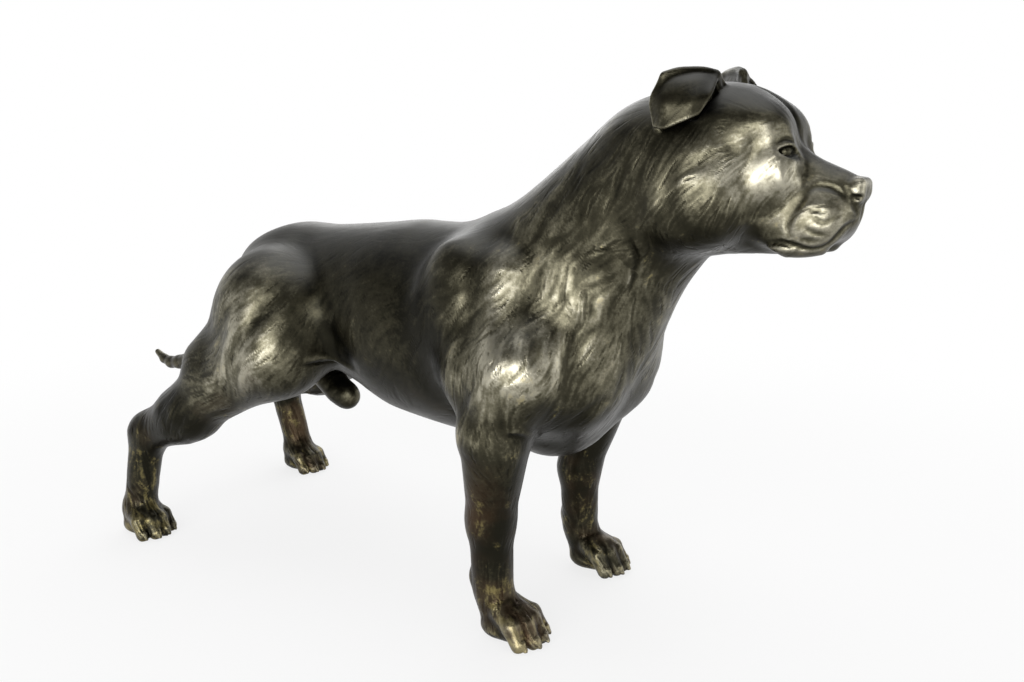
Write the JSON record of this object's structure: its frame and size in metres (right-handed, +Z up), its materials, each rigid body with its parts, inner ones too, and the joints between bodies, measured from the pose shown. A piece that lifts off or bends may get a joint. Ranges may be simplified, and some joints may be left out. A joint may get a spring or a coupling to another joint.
{
  "type": "garden dog statue",
  "caption": "Life-size hollow-cast bronze statue of a standing short-haired dog with folded ears, set on its four paws.",
  "frame": {"origin": "on the ground, under the middle of the statue's bounding box", "axes": "+X the way the dog looks, +Y its left side, +Z up"},
  "size_m": [0.9614, 0.3336, 0.5418],
  "materials": {
    "bronze": "dark brown patinated bronze, waxed and hand rubbed",
    "inner_metal": "bare as-cast bronze"
  },
  "bodies": {
    "root": {"head_casting": "bronze", "ear_right": "bronze", "ear_left": "bronze", "forequarter_casting": "bronze", "hindquarter_casting": "bronze", "foreleg_right": "bronze", "foreleg_left": "bronze", "hindleg_right": "bronze", "hindleg_left": "bronze", "tail_casting": "bronze", "sheath_casting": "bronze", "neck_sleeve": "inner_metal", "barrel_sleeve": "inner_metal", "foreleg_sleeve_right": "inner_metal", "foreleg_sleeve_left": "inner_metal", "hindleg_sleeve_right": "inner_metal", "hindleg_sleeve_left": "inner_metal", "tail_dowel": "inner_metal", "sheath_dowel": "inner_metal", "ear_dowel_right": "inner_metal", "ear_dowel_left": "inner_metal"}
  },
  "joints": []
}
